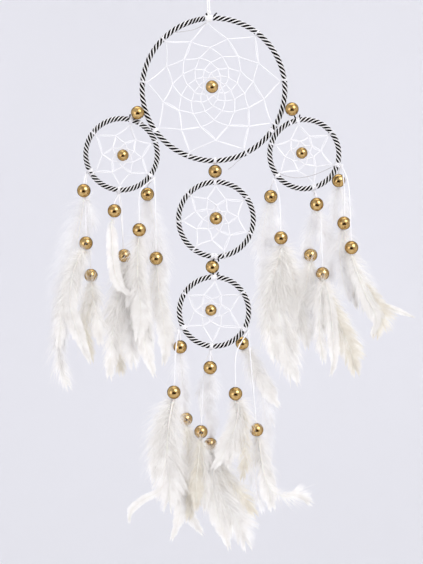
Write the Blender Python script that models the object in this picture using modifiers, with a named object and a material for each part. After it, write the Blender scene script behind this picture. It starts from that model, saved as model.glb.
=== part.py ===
# A hanging dream catcher: five cord-wrapped hoops with woven thread webs, gold beads and feather tassels.
# The origin is the inside top of the hanging loop, where a nail or hook holds it.
# +X is right as seen from the front, the front faces -Y, and +Z is up.
import math

import bmesh
import bpy
from mathutils import Matrix, Vector

MM = 0.001
MAIN_CENTRE = (7.0, -130.0)  # x and z of the main hoop's centre, mm from the origin

# Hoops
RIM = 5.4  # diameter of the wrapped rim, mm
WRAP_WALL = 0.9  # thickness of the cord wrap, mm
CORE = 2.0  # diameter of the steel ring inside the wrap, mm
WRAP_GAP_DEG = 3.0  # the cord starts and ends this far apart, under a thread knot
TOUCH_GAP = 0.3  # between the rims of hoops that are tied together, mm
RIM_SIDES = 6

# Webs: the thread is looped on the rim at the anchors, then woven inwards in rounds
THREAD = 1.0  # thickness of the web's thread, mm
ANCHOR_INSET = 1.5  # from the rim's inner side to the first knots, mm

# Each hoop: offset of its centre from the main hoop's, outer radius, segments,
# anchor angles in degrees, radii of the later rounds, bead radius and bead offset
HOOPS = {
    "main": {
        "centre": (0.0, 0.0),
        "radius": 76.2,
        "segments": 40,
        "seam_deg": 92.0,
        "anchors": (-145, -111, -63, -30, 7, 52, 96, 135, 174),
        "rounds": (53.5, 42.0, 33.5, 26.0, 19.5, 14.0, 9.4),
        "bead": 6.5,
        "bead_offset": (-1.6, 2.8),
    },
    "left": {
        "centre": (-94.8, -66.8),
        "radius": 39.5,
        "segments": 24,
        "seam_deg": 74.0,
        "anchors": (-146, -93, -37, 20, 74, 143),
        "rounds": (20.8, 12.8, 8.0),
        "bead": 5.9,
        "bead_offset": (1.4, -1.0),
    },
    "right": {
        "centre": (93.5, -66.7),
        "radius": 38.3,
        "segments": 24,
        "seam_deg": 101.0,
        "anchors": (-142, -72, -21, 38, 101, 162),
        "rounds": (19.0, 12.4, 8.0),
        "bead": 5.9,
        "bead_offset": (-2.6, 1.2),
    },
    "middle": {
        "centre": (2.5, -133.8),
        "radius": 41.2,
        "segments": 24,
        "seam_deg": 270.0,
        "anchors": (-177, -126, -76, -23, 34, 90, 137),
        "rounds": (22.6, 13.8, 8.8),
        "bead": 6.5,
        "bead_offset": (0.0, 1.0),
    },
    "lower": {
        "centre": (0.5, -228.9),
        "radius": 38.4,
        "segments": 24,
        "seam_deg": 88.0,
        "anchors": (-151, -93, -32, 33, 88, 148),
        "rounds": (18.4, 11.6, 8.0),
        "bead": 5.9,
        "bead_offset": (-3.2, 1.5),
    },
}

# Beads
BEAD = 6.9  # radius of the tassel and link beads, mm
BORE = 1.4  # radius of a bead's hole, mm
BEAD_ARC = 7
BEAD_STEPS = 10

# Link beads: x and z from the main hoop's centre, y, and the tilt of the hole from vertical in degrees
LINKS = {
    "main_middle_link_bead": ((1.6, -84.45), 0.0, 0.0),
    "middle_lower_link_bead": ((-1.2, -182.75), 0.0, 0.0),
    "main_left_link_bead": ((-77.8, -24.9), -7.0, 35.2),
    "main_right_link_bead": ((80.3, -21.2), -7.0, -35.5),
}

# Hanging loop and its knot
LOOP_THREAD = 1.3  # diameter, mm
KNOT_DEG = 94.0  # where the loop is tied on the main hoop
KNOT_RADIUS = 2.4
TIE_THREAD = 1.2

# Tassels: each has one knot on the rim and three strings, each with a bead and a feather plume
TASSEL_KNOT = 1.6  # radius, mm
STRING = 0.65  # radius, mm
PLUME_FLAT = 0.36  # thickness of a plume over its width
BACK, MIDDLE, FRONT = 8.0, -3.0, -14.0  # y of the three layers of strings, mm

# Each strand: y layer, bead x and z, points that its string passes, plume half width, plume points.
# A strand whose bead flag is False has a bead too small to show through its feathers, and carries none here.
TASSELS = {
    "left_tassel_1": {
        "hoop": "left",
        "angle": 208,
        "strands": (
            (FRONT, (-132.3, -105.2), (), 10.0, True,
             ((-142.0, -165.0), (-152.5, -217.0), (-160.5, -268.0), (-167.0, -300.0))),
            (MIDDLE, (-131.1, -158.4), ((-131.3, -108.0),), 8.0, True,
             ((-143.0, -206.0), (-143.5, -237.0), (-135.5, -263.0), (-127.5, -277.0))),
            (BACK, (-127.0, -191.6), ((-130.8, -112.0),), 6.0, True,
             ((-124.0, -222.0), (-122.5, -248.0), (-122.0, -268.0))),
        ),
    },
    "left_tassel_2": {
        "hoop": "left",
        "angle": 266,
        "strands": (
            (FRONT, (-101.1, -125.8), (), 5.2, True,
             ((-105.8, -155.0), (-104.5, -183.0), (-98.5, -203.0), (-92.5, -213.0))),
            (MIDDLE, (-91.8, -171.3), ((-95.5, -126.0),), 7.0, True,
             ((-94.5, -215.0), (-97.0, -250.0), (-101.0, -280.0), (-103.0, -292.0))),
            (BACK, (-92.5, -197.5), ((-95.0, -124.0),), 5.0, False,
             ((-94.0, -240.0), (-92.0, -270.0), (-91.0, -290.0))),
        ),
    },
    "left_tassel_3": {
        "hoop": "left",
        "angle": 324,
        "strands": (
            (BACK, (-68.5, -107.4), (), 7.5, True,
             ((-64.4, -134.5), (-59.2, -165.0), (-55.5, -203.0), (-53.0, -235.0))),
            (FRONT, (-75.8, -145.2), ((-75.0, -107.0),), 6.0, True,
             ((-76.0, -190.0), (-75.8, -231.0), (-77.5, -252.0))),
            (MIDDLE, (-59.0, -174.0), ((-60.0, -112.0),), 5.2, True,
             ((-55.5, -217.0), (-51.5, -252.0), (-50.5, -277.0))),
        ),
    },
    "right_tassel_1": {
        "hoop": "right",
        "angle": 219,
        "strands": (
            (BACK, (59.4, -109.8), (), 6.0, True,
             ((54.0, -150.0), (52.5, -180.0), (53.0, -207.0))),
            (MIDDLE, (69.3, -153.0), ((67.5, -112.0),), 12.5, True,
             ((69.0, -195.0), (68.5, -230.0), (73.0, -262.0), (77.5, -290.0))),
        ),
    },
    "right_tassel_2": {
        "hoop": "right",
        "angle": 285,
        "strands": (
            (FRONT, (105.2, -119.2), (), 8.0, True,
             ((110.0, -150.0), (112.5, -175.0), (112.0, -197.0))),
            (BACK, (100.7, -170.6), ((102.0, -124.0),), 5.5, True,
             ((96.0, -207.0), (93.5, -236.0), (93.0, -256.0))),
            (MIDDLE, (112.1, -189.9), ((109.5, -126.0),), 7.6, True,
             ((113.0, -221.0), (113.0, -255.0), (112.0, -287.0))),
        ),
    },
    "right_tassel_3": {
        "hoop": "right",
        "angle": 343,
        "strands": (
            (BACK, (129.6, -93.4), (), 6.0, True,
             ((132.0, -125.0), (136.0, -152.0), (134.5, -180.0))),
            (MIDDLE, (134.1, -137.9), ((134.0, -98.0),), 8.0, True,
             ((132.0, -175.0), (134.5, -205.0), (142.0, -240.0), (146.0, -287.0))),
            (FRONT, (140.6, -163.3), ((137.5, -100.0),), 8.0, True,
             ((148.0, -200.0), (161.0, -220.0), (180.0, -230.0), (201.0, -236.0))),
        ),
    },
    "lower_tassel_1": {
        "hoop": "lower",
        "angle": 206,
        "strands": (
            (MIDDLE, (-34.2, -265.1), (), 5.5, True,
             ((-33.0, -294.0), (-34.5, -315.0), (-33.0, -340.0))),
            (FRONT, (-40.5, -310.8), ((-38.5, -268.0),), 12.0, True,
             ((-49.0, -345.0), (-56.0, -373.0), (-62.0, -409.0), (-75.0, -428.0), (-86.0, -439.0))),
            (BACK, (-28.6, -340.4), ((-33.5, -274.0),), 8.0, True,
             ((-36.0, -380.0), (-33.0, -416.0), (-29.0, -440.0), (-26.0, -458.0))),
        ),
    },
    "lower_tassel_2": {
        "hoop": "lower",
        "angle": 265,
        "strands": (
            (FRONT, (-3.5, -285.7), (), 6.0, True,
             ((-5.0, -315.0), (-6.0, -340.0), (-5.0, -385.0))),
            (MIDDLE, (-12.9, -352.4), ((-9.5, -288.0),), 5.5, True,
             ((-13.5, -388.0), (-12.0, -415.0), (-10.0, -436.0))),
            (BACK, (-3.1, -366.5), ((-0.5, -290.0),), 7.0, True,
             ((-1.0, -395.0), (4.0, -424.0), (5.0, -450.0), (5.0, -467.0))),
        ),
    },
    "lower_tassel_3": {
        "hoop": "lower",
        "angle": 331,
        "strands": (
            (BACK, (29.8, -261.8), (), 7.0, True,
             ((40.0, -287.0), (50.0, -310.0), (55.0, -335.0))),
            (FRONT, (22.4, -312.3), ((23.0, -272.0),), 6.0, True,
             ((21.5, -345.0), (21.0, -370.0), (22.5, -400.0), (30.0, -448.0))),
            (MIDDLE, (44.3, -350.3), ((38.0, -276.0),), 7.5, True,
             ((50.5, -388.0), (58.0, -409.0), (74.0, -419.0), (97.0, -424.0))),
        ),
    },
}

PLUME_RINGS = 7
CORD_DARK = (0.10, 0.09, 0.085)
STEEL = (0.55, 0.55, 0.55)
WHITE_THREAD = (0.86, 0.85, 0.84)
GOLD = (0.72, 0.48, 0.17)
FEATHER = (0.88, 0.87, 0.84)


def clear_scene():
    for old in list(bpy.data.objects):
        bpy.data.objects.remove(old)


def make_collection(name):
    group = bpy.data.collections.new(name)
    bpy.context.scene.collection.children.link(group)
    return group


def finish_surface(name, colour, metallic, roughness):
    """One Principled material."""
    material = bpy.data.materials.new(name)
    material.use_nodes = True
    shader = material.node_tree.nodes["Principled BSDF"]
    shader.inputs["Base Color"].default_value = (*colour, 1.0)
    shader.inputs["Metallic"].default_value = metallic
    shader.inputs["Roughness"].default_value = roughness
    material.diffuse_color = (*colour, 1.0)
    return material


def world(x, z, y=0.0):
    """Metres in the object's frame from mm offsets from the main hoop's centre."""
    return Vector((MAIN_CENTRE[0] + x, y, MAIN_CENTRE[1] + z)) * MM


def add_part(name, mesh, colour, metallic, roughness, group, pivot=None):
    """A named sub-part with its own material, parented to the empty on its joint's axis."""
    part = bpy.data.objects.new(name, mesh)
    mesh.materials.clear()
    mesh.materials.append(finish_surface(name + "_finish", colour, metallic, roughness))
    group.objects.link(part)
    if pivot is not None:
        part.parent = pivot
        part.matrix_parent_inverse = Matrix.Translation(pivot.location).inverted()
    return part


def add_pivot(name, place, group):
    """An empty on a joint's axis."""
    pivot = bpy.data.objects.new(name, None)
    pivot.empty_display_size = 0.01
    pivot.location = place
    group.objects.link(pivot)
    return pivot


def smooth(mesh):
    for face in mesh.polygons:
        face.use_smooth = True


def loop_mesh(name, points, closed):
    """A mesh of edges only, in the local XZ plane, for the Screw modifier."""
    mesh = bpy.data.meshes.new(name)
    count = len(points)
    edges = [(i, i + 1) for i in range(count - 1)]
    if closed:
        edges.append((count - 1, 0))
    mesh.from_pydata([(x, 0.0, z) for x, z in points], edges, [])
    return mesh


def add_screw(part, angle, steps):
    screw = part.modifiers.new("turn", "SCREW")
    screw.angle = angle
    screw.steps = steps
    screw.render_steps = steps
    screw.use_merge_vertices = True
    screw.merge_threshold = 0.00001
    screw.use_smooth_shade = True
    screw.use_normal_calculate = True
    return screw


def section(radius, centre, sides):
    """A polygon section of a ring, points as (distance from the axis, height)."""
    turn = 2 * math.pi / sides
    return [
        (centre + radius * math.cos(i * turn), -radius * math.sin(i * turn))
        for i in range(sides)
    ]


def hoop_centre(hoop):
    return world(*HOOPS[hoop]["centre"])


def rim_point(hoop, angle, radius):
    """Offset in mm from the main hoop's centre of a point at an angle and radius on a hoop."""
    x, z = HOOPS[hoop]["centre"]
    a = math.radians(angle)
    return x + radius * math.cos(a), z + radius * math.sin(a)


def build_core(hoop, group, pivot):
    """The bare steel ring inside the wrap."""
    spec = HOOPS[hoop]
    centre_line = (spec["radius"] - RIM / 2) * MM
    mesh = loop_mesh(hoop + "_hoop_core", section(CORE / 2 * MM, centre_line, RIM_SIDES), True)
    core = add_part(hoop + "_hoop_core", mesh, STEEL, 1.0, 0.35, group, pivot)
    core.location = hoop_centre(hoop)
    core.rotation_euler = (math.pi / 2, 0.0, 0.0)
    add_screw(core, 2 * math.pi, spec["segments"])
    return core


def build_wrap(hoop, group, pivot):
    """The cord wrap: a sleeve with open ends around the core, its seam under a knot."""
    spec = HOOPS[hoop]
    centre_line = (spec["radius"] - RIM / 2) * MM
    mesh = loop_mesh(hoop + "_hoop_wrap", section(RIM / 2 * MM, centre_line, RIM_SIDES), True)
    wrap = add_part(hoop + "_hoop_wrap", mesh, CORD_DARK, 0.0, 0.7, group, pivot)
    wrap.location = hoop_centre(hoop)
    seam = math.radians(spec["seam_deg"] + WRAP_GAP_DEG / 2)
    tilt = Matrix.Rotation(-seam, 3, "Y") @ Matrix.Rotation(math.pi / 2, 3, "X")
    wrap.rotation_euler = tilt.to_euler()
    add_screw(wrap, math.radians(360.0 - WRAP_GAP_DEG), spec["segments"])
    wall = wrap.modifiers.new("wall", "SOLIDIFY")
    wall.thickness = WRAP_WALL * MM
    wall.offset = -1.0
    wall.use_rim = True
    wall.use_even_offset = True
    return wrap


def round_angles(anchors, rounds):
    """The knots' angles in each round: each knot is midway between two of the round before."""
    levels = [list(anchors)]
    for _ in range(rounds):
        last = levels[-1]
        wrapped = last[1:] + [last[0] + 360]
        levels.append([(a + b) / 2 for a, b in zip(last, wrapped)])
    count = len(anchors)
    step = 360 / count
    final = levels[-1]
    phase = sum(a - i * step for i, a in enumerate(final)) / count
    levels[-1] = [phase + i * step for i in range(count)]
    return levels


def web_knots(hoop):
    """The knots of a web, mm from the main hoop's centre, as lists by round. They close in on the bead."""
    spec = HOOPS[hoop]
    rim = spec["radius"] - RIM - ANCHOR_INSET
    radii = (rim, *spec["rounds"])
    levels = round_angles(spec["anchors"], len(spec["rounds"]))
    knots = []
    for radius, angles in zip(radii, levels):
        pull = 1 - (radius - radii[-1]) / (rim - radii[-1])
        shift = [pull * c for c in spec["bead_offset"]]
        row = [rim_point(hoop, a, radius) for a in angles]
        knots.append([(x + shift[0], z + shift[1]) for x, z in row])
    return knots


def bead_line(hoop):
    """The two ends of the thread that runs through a hoop's centre bead, mm."""
    hub = web_knots(hoop)[-1]
    half = len(hub) // 2
    if len(hub) % 2 == 0:
        return hub[0], hub[half]
    a, b = hub[half], hub[half + 1]
    return hub[0], ((a[0] + b[0]) / 2, (a[1] + b[1]) / 2)


def build_web(hoop, group, pivot):
    """The woven thread: cells between its knots, thickened into one run of thread."""
    knots = web_knots(hoop)
    count = len(knots[0])
    top = len(knots) - 1
    net = bmesh.new()
    rows = [[net.verts.new(world(x, z)) for x, z in row] for row in knots]
    for level in range(top - 1):
        for j in range(count):
            k = (j + 1) % count
            cell = (rows[level][k], rows[level + 1][j], rows[level + 2][j], rows[level + 1][k])
            net.faces.new(cell)
    for j in range(count):
        k = (j + 1) % count
        net.faces.new((rows[top - 1][k], rows[top][j], rows[top][k]))
    hub = rows[top]
    half = count // 2
    if count % 2 == 0:
        net.faces.new(hub[: half + 1])
        net.faces.new(hub[half:] + hub[:1])
    else:
        end = bead_line(hoop)[1]
        far = net.verts.new(world(*end))
        outer = net.edges.get((hub[half], hub[half + 1])).link_faces[0]
        corner = [v for v in outer.verts if v not in hub][0]
        net.faces.remove(outer)
        net.faces.new((corner, hub[half], far))
        net.faces.new((corner, far, hub[half + 1]))
        bmesh.ops.dissolve_edges(net, edges=[net.edges.get((corner, far))], use_verts=False)
        net.faces.new(hub[: half + 1] + [far])
        net.faces.new([far] + hub[half + 1 :] + hub[:1])
    bmesh.ops.recalc_face_normals(net, faces=net.faces)
    mesh = bpy.data.meshes.new(hoop + "_hoop_web")
    net.to_mesh(mesh)
    net.free()
    web = add_part(hoop + "_hoop_web", mesh, WHITE_THREAD, 0.0, 0.8, group, pivot)
    wire = web.modifiers.new("thread", "WIREFRAME")
    wire.thickness = THREAD * MM
    wire.use_replace = True
    wire.use_boundary = True
    wire.use_even_offset = True
    wire.use_relative_offset = False
    return web


def build_bead(name, centre, radius, axis, group, pivot):
    """A round bead with a hole along its axis."""
    start = math.asin(BORE / radius)
    arc = []
    for i in range(BEAD_ARC):
        a = start + (math.pi - 2 * start) * i / (BEAD_ARC - 1)
        arc.append((radius * math.sin(a) * MM, radius * math.cos(a) * MM))
    bead = add_part(name, loop_mesh(name, arc, True), GOLD, 0.9, 0.25, group, pivot)
    bead.location = centre
    bead.rotation_euler = Vector((0, 0, 1)).rotation_difference(axis).to_euler()
    add_screw(bead, 2 * math.pi, BEAD_STEPS)
    return bead


def build_centre_bead(hoop, group):
    """The bead at the middle of a web, on the thread of the last round."""
    a, b = bead_line(hoop)
    spec = HOOPS[hoop]
    x, z = spec["centre"]
    centre = world(x + spec["bead_offset"][0], z + spec["bead_offset"][1])
    axis = world(*a) - world(*b)
    return build_bead(hoop + "_centre_bead", centre, spec["bead"], axis, group, None)


def wire_mesh(name, points, radii, flat=1.0):
    """A closed tube through points, with a radius in metres at each, flattened front to back."""
    curve = bpy.data.curves.new(name, "CURVE")
    curve.dimensions = "3D"
    curve.bevel_depth = 1.0
    curve.bevel_resolution = 1
    curve.use_fill_caps = True
    spline = curve.splines.new("POLY")
    spline.points.add(len(points) - 1)
    for spot, place, radius in zip(spline.points, points, radii):
        spot.co = (place.x, place.y / flat, place.z, 1.0)
        spot.radius = radius
    path = bpy.data.objects.new(name, curve)
    path.scale = (1.0, flat, 1.0)
    bpy.context.scene.collection.objects.link(path)
    bpy.context.view_layer.update()
    mesh = bpy.data.meshes.new_from_object(path)
    mesh.transform(path.matrix_world)
    body = bmesh.new()
    body.from_mesh(mesh)
    bmesh.ops.remove_doubles(body, verts=body.verts, dist=0.000001)
    bmesh.ops.recalc_face_normals(body, faces=body.faces)
    body.to_mesh(mesh)
    body.free()
    bpy.data.objects.remove(path)
    bpy.data.curves.remove(curve)
    smooth(mesh)
    return mesh


def join_solids(part, meshes, cutters):
    """Joins further solids to a part with exact Booleans."""
    for i, mesh in enumerate(meshes):
        tool = bpy.data.objects.new(part.name + "_tool_" + str(i + 1), mesh)
        tool.display_type = "WIRE"
        tool.hide_render = True
        cutters.objects.link(tool)
        join = part.modifiers.new("join_" + str(i + 1), "BOOLEAN")
        join.operation = "UNION"
        join.solver = "EXACT"
        join.object = tool


def catmull(points, samples):
    """Evenly spaced samples of a smooth curve through points."""
    ends = [points[0] * 2 - points[1], *points, points[-1] * 2 - points[-2]]
    fine = []
    for i in range(1, len(ends) - 2):
        p0, p1, p2, p3 = ends[i - 1 : i + 3]
        for k in range(12):
            t = k / 12
            fine.append(
                0.5 * (2 * p1 + (p2 - p0) * t + (2 * p0 - 5 * p1 + 4 * p2 - p3) * t * t
                       + (3 * p1 - p0 - 3 * p2 + p3) * t * t * t)
            )
    fine.append(points[-1])
    lengths = [0.0]
    for a, b in zip(fine, fine[1:]):
        lengths.append(lengths[-1] + (b - a).length)
    picked = []
    for n in range(samples):
        want = lengths[-1] * n / (samples - 1)
        i = max(j for j, length in enumerate(lengths) if length <= want + 1e-9)
        if i == len(fine) - 1:
            picked.append(fine[-1].copy())
            continue
        share = (want - lengths[i]) / (lengths[i + 1] - lengths[i])
        picked.append(fine[i].lerp(fine[i + 1], share))
    return picked


def tassel_knot(name):
    """Centre of a tassel's knot, just outside the rim."""
    spec = TASSELS[name]
    radius = HOOPS[spec["hoop"]]["radius"] + 0.3 + TASSEL_KNOT
    return world(*rim_point(spec["hoop"], spec["angle"], radius))


def strand_axis(knot, layer, spot, via):
    """Direction of the string where it runs through the bead."""
    centre = world(spot[0], spot[1], layer)
    last = world(via[-1][0], via[-1][1], layer) if via else centre + Vector((0, 0, 1))
    return (last - centre).normalized()


def strand_mesh(name, knot, strand):
    """One string with its plume. The string is straight through the bead, and the plume starts below it."""
    layer, spot, via, width, _, plume = strand
    centre = world(spot[0], spot[1], layer)
    axis = strand_axis(knot, layer, spot, via)
    points = [knot]
    points += [world(x, z, layer) for x, z in via]
    points.append(centre + axis * (BEAD + 1.0) * MM)
    points.append(centre - axis * (BEAD + 0.8) * MM)
    radii = [STRING] * len(points)
    start = centre - axis * (BEAD + 3.0) * MM
    vane = catmull([start] + [world(x, z, layer) for x, z in plume], PLUME_RINGS)
    shape = (0.32, 0.78, 1.0, 0.97, 0.8, 0.5, 0.1)
    points += vane
    radii += [width * s for s in shape]
    return wire_mesh(name, points, [r * MM for r in radii], PLUME_FLAT)


def build_tassel(name, group, cutters):
    """A knot on the rim with its strings and plumes as one tied bundle, and its beads."""
    knot = tassel_knot(name)
    pivot = add_pivot(name + "_pivot", knot, cutters)
    ball = bmesh.new()
    bmesh.ops.create_icosphere(ball, subdivisions=2, radius=TASSEL_KNOT * MM)
    bmesh.ops.translate(ball, verts=ball.verts, vec=knot)
    mesh = bpy.data.meshes.new(name)
    ball.to_mesh(mesh)
    ball.free()
    smooth(mesh)
    tassel = add_part(name, mesh, FEATHER, 0.0, 0.85, group, pivot)
    strands = TASSELS[name]["strands"]
    meshes = [strand_mesh(name + "_strand", knot, s) for s in strands]
    join_solids(tassel, meshes, cutters)
    for letter, strand in zip("abc", strands):
        layer, spot, via, _, has_bead, _ = strand
        if not has_bead:
            continue
        bead_name = name.replace("tassel", "bead") + letter
        axis = strand_axis(knot, layer, spot, via)
        build_bead(bead_name, world(spot[0], spot[1], layer), BEAD, axis, group, pivot)
    return tassel


def build_hanger(group, cutters):
    """The knot tied round the main rim, and the loop of thread above it."""
    centre_line = HOOPS["main"]["radius"] - RIM / 2
    tie = world(*rim_point("main", KNOT_DEG, centre_line))
    inner = RIM / 2 + 0.45
    middle = (inner + TIE_THREAD / 2) * MM
    pivot = add_pivot("hanging_knot_pivot", tie, cutters)
    mesh = loop_mesh("hanging_knot", section(TIE_THREAD / 2 * MM, middle, RIM_SIDES), True)
    knot = add_part("hanging_knot", mesh, WHITE_THREAD, 0.0, 0.8, group, pivot)
    knot.location = tie
    turn = Matrix.Rotation(math.radians(-(KNOT_DEG - 90)), 3, "Y") @ Matrix.Rotation(math.pi / 2, 3, "Y")
    knot.rotation_euler = turn.to_euler()
    add_screw(knot, 2 * math.pi, 14)
    ball = bmesh.new()
    bmesh.ops.create_icosphere(ball, subdivisions=2, radius=KNOT_RADIUS * MM)
    rise = (inner + TIE_THREAD * 0.5 + KNOT_RADIUS * 0.7) * MM
    top = tie + Vector((0, 0, rise))
    bmesh.ops.translate(ball, verts=ball.verts, vec=top)
    lump = bpy.data.meshes.new("hanging_knot_lump")
    ball.to_mesh(lump)
    ball.free()
    smooth(lump)
    join_solids(knot, [lump], cutters)

    foot = top + Vector((0, 0, (KNOT_RADIUS + 0.4 + LOOP_THREAD / 2) * MM))
    half = Vector((0.95 * MM, 0, 0))
    crown = LOOP_THREAD / 2 * MM
    left = [
        foot - half,
        Vector((foot.x * 0.75 - 0.0010, 0, foot.z * 0.75)),
        Vector((foot.x * 0.4 - 0.0013, 0, foot.z * 0.5)),
        Vector((-0.0034, 0, -0.012)),
        Vector((-0.0041, 0, -0.0045)),
        Vector((-0.0026, 0, -0.0008)),
    ]
    right = [
        foot + half,
        Vector((foot.x * 0.75 + 0.0010, 0, foot.z * 0.75)),
        Vector((foot.x * 0.4 + 0.0013, 0, foot.z * 0.5)),
        Vector((0.0034, 0, -0.012)),
        Vector((0.0041, 0, -0.0045)),
        Vector((0.0026, 0, -0.0008)),
    ]
    path = catmull([*left, Vector((0, 0, crown)), *reversed(right)], 30)
    mesh = wire_mesh("hanging_loop", path, [crown] * len(path))
    add_part("hanging_loop", mesh, WHITE_THREAD, 0.0, 0.8, group)


def build():
    clear_scene()
    group = make_collection("Dream catcher")
    cutters = make_collection("Cutters and pivots")
    cutters.hide_render = True
    main_tie = world(*rim_point("main", KNOT_DEG, HOOPS["main"]["radius"] - RIM / 2))
    touch = HOOPS["main"]["radius"] + TOUCH_GAP / 2
    pivots = {
        "main": main_tie,
        "middle": world(*rim_point("middle", 90, HOOPS["middle"]["radius"] - RIM / 2)),
        "lower": world(*rim_point("lower", 90, HOOPS["lower"]["radius"] - RIM / 2)),
    }
    for hoop in ("left", "right"):
        x, z = HOOPS[hoop]["centre"]
        far = math.hypot(x, z)
        pivots[hoop] = world(x / far * touch, z / far * touch)
    for hoop in HOOPS:
        pivot = add_pivot(hoop + "_hoop_pivot", pivots[hoop], cutters)
        build_core(hoop, group, pivot)
        build_wrap(hoop, group, pivot)
        build_web(hoop, group, pivot)
        build_centre_bead(hoop, group)
    for name, (spot, layer, tilt) in LINKS.items():
        lean = math.radians(tilt)
        axis = Vector((-math.sin(lean), 0, math.cos(lean)))
        build_bead(name, world(spot[0], spot[1], layer), BEAD, axis, group, None)
    for name in TASSELS:
        build_tassel(name, group, cutters)
    build_hanger(group, cutters)


build()
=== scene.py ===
import math

import bpy
import numpy as np
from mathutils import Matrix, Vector


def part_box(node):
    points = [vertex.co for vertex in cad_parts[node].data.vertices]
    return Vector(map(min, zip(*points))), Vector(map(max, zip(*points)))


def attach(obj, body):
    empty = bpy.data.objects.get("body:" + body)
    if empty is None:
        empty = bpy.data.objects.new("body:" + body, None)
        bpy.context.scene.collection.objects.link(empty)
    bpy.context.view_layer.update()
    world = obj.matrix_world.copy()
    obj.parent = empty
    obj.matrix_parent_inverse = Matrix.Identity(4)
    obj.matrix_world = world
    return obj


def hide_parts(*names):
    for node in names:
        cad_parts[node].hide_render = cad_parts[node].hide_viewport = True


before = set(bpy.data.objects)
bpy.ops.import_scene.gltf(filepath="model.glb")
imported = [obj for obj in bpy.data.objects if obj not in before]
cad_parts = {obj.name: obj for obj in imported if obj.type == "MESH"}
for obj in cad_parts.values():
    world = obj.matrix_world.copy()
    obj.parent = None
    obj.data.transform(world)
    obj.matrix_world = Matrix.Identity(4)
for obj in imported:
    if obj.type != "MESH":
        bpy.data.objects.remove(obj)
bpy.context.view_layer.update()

mm = 0.001
mainCentre = (7.0, -130.0)  # x and z of the main hoop's centre, mm from the hanging point
backLayer, middleLayer, frontLayer = 8.0, -3.0, -14.0  # y of the three layers of strings


def place(x, z, y=0.0):
    # a point in metres, from mm measured from the main hoop's centre
    return Vector((mainCentre[0] + x, y, mainCentre[1] + z)) * mm


# ---- camera: a short telephoto straight in front, as the object is seen hanging
view = {"lens": 85.0, "sensor": 36.0, "location": (0.0049, -1.372, -0.3284)}


def makeCamera():
    data = bpy.data.cameras.new("studio_camera")
    data.lens = view["lens"]
    data.sensor_width = view["sensor"]
    data.sensor_height = view["sensor"]
    data.sensor_fit = "VERTICAL"
    data.clip_start = 0.05
    data.clip_end = 60
    camera = bpy.data.objects.new("studio_camera", data)
    camera.location = view["location"]
    camera.rotation_euler = (math.pi / 2, 0, 0)
    bpy.context.scene.collection.objects.link(camera)
    bpy.context.scene.camera = camera


makeCamera()
print("camera in place")


# ---- materials
def linear(code):
    # an sRGB hex colour as linear RGBA
    parts = [int(code[i : i + 2], 16) / 255 for i in (1, 3, 5)]
    return (*[p / 12.92 if p <= 0.04045 else ((p + 0.055) / 1.055) ** 2.4 for p in parts], 1.0)


def addNode(tree, kind, settings=None, links=None):
    # one node with its settings, by property or by socket, and what feeds its sockets
    node = tree.nodes.new("ShaderNode" + kind)
    for key, value in (settings or {}).items():
        if isinstance(key, str) and hasattr(node, key):
            setattr(node, key, value)
        else:
            node.inputs[key].default_value = value
    for key, source in (links or {}).items():
        tree.links.new(source, node.inputs[key])
    return node


def newMaterial(name):
    material = bpy.data.materials.new(name)
    material.use_nodes = True
    material.node_tree.nodes.clear()
    return material, material.node_tree


def addRamp(tree, source, stops):
    ramp = addNode(tree, "ValToRGB", links={"Fac": source})
    marks = ramp.color_ramp.elements
    while len(marks) < len(stops):
        marks.new(0.5)
    for mark, (at, code) in zip(marks, stops):
        mark.position = at
        mark.color = linear(code)
    return ramp.outputs["Color"]


def close(tree, shader):
    addNode(tree, "OutputMaterial", links={"Surface": shader})


def closePrincipled(tree, settings, links):
    close(tree, addNode(tree, "BsdfPrincipled", settings, links).outputs["BSDF"])


def slantedMap(tree, lean):
    # the map laid along a cord, turned by the lean of its plies in degrees
    where = addNode(tree, "UVMap", {"uv_map": "cordMap"}).outputs["UV"]
    turned = addNode(tree, "Mapping", {"Rotation": (0, 0, math.radians(lean))}, {"Vector": where})
    return turned.outputs["Vector"]


def addPlies(tree, where, ply, settings):
    # bands one ply wide, in mm
    bands = {"wave_type": "BANDS", "bands_direction": "X", "Scale": bandScale / ply, **settings}
    return addNode(tree, "TexWave", bands, {"Vector": where}).outputs["Fac"]


def addGrain(tree, size, settings):
    # noise of a size in mm, fixed to the piece
    where = addNode(tree, "TexCoord").outputs["Object"]
    return addNode(tree, "TexNoise", {"Scale": 1 / (size * mm), **settings}, {"Vector": where}).outputs["Fac"]


bandScale = 0.314  # wave scale that gives one band for each unit of the map
cordLook = {"ply": 0.85, "lean": 52, "roughness": 0.62, "depth": 0.09}  # mm, degrees, share, mm


def twistedCord(name, low, high, sheen, gloss):
    # waxed cotton cord, laid from three plies: slanting plies with fine fuzz, and a dull wax sheen; its colour is
    # darker in the grooves between plies, painted shade, with the fibres' own random tone
    material, tree = newMaterial(name)
    where = slantedMap(tree, cordLook["lean"])
    plies = addPlies(tree, where, cordLook["ply"], {"Distortion": 0.6, "Detail": 2.0})
    fibres = addNode(tree, "TexNoise", {"Scale": 5.5, "Detail": 5.0, "Roughness": 0.65}, {"Vector": where})
    both = addNode(tree, "Math", {"operation": "MULTIPLY_ADD", 1: 0.45}, {0: fibres.outputs["Fac"], 2: plies})
    # colour from the bump's height: painted shade in the ply grooves, and random tone from the fibres
    colour = addRamp(tree, both.outputs["Value"], ((0.25, low), (1.1 / 1.45, high)))
    depth = {"Strength": 0.8, "Distance": cordLook["depth"] * mm}
    bump = addNode(tree, "Bump", depth, {"Height": both.outputs["Value"]})
    settings = {"Specular IOR Level": gloss, "Sheen Weight": sheen, "Sheen Roughness": 0.5}
    settings["Roughness"] = cordLook["roughness"]
    closePrincipled(tree, settings, {"Base Color": colour, "Normal": bump.outputs["Normal"]})
    return material


threadLook = {"ply": 0.55, "lean": 40, "roughness": 0.55, "depth": 0.06}


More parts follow.
